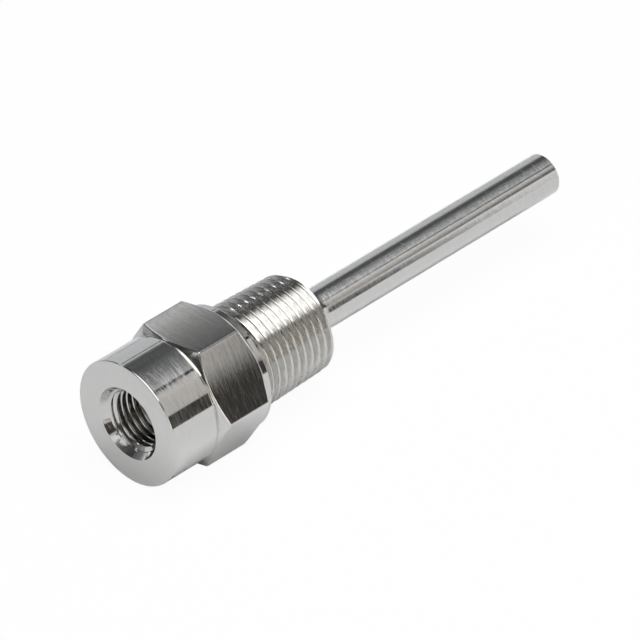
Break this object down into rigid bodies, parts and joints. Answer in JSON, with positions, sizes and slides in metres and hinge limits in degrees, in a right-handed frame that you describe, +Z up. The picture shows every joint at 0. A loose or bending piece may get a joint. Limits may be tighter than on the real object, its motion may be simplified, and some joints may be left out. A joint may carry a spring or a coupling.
{
  "type": "thermowell",
  "caption": "One-piece screw-in thermowell: round head with a threaded sensor port, wrench hexagon, taper pipe thread and a long closed stem.",
  "frame": {"origin": "centre of the shoulder behind the hexagon, where the process thread starts", "axes": "+X along the axis to the closed tip, +Z up with one flat of the hexagon facing down"},
  "size_m": [0.1124, 0.03, 0.026],
  "materials": {
    "steel": "stainless steel, turned and finely brushed"
  },
  "bodies": {
    "root": {"thermowell": "steel"}
  },
  "joints": []
}
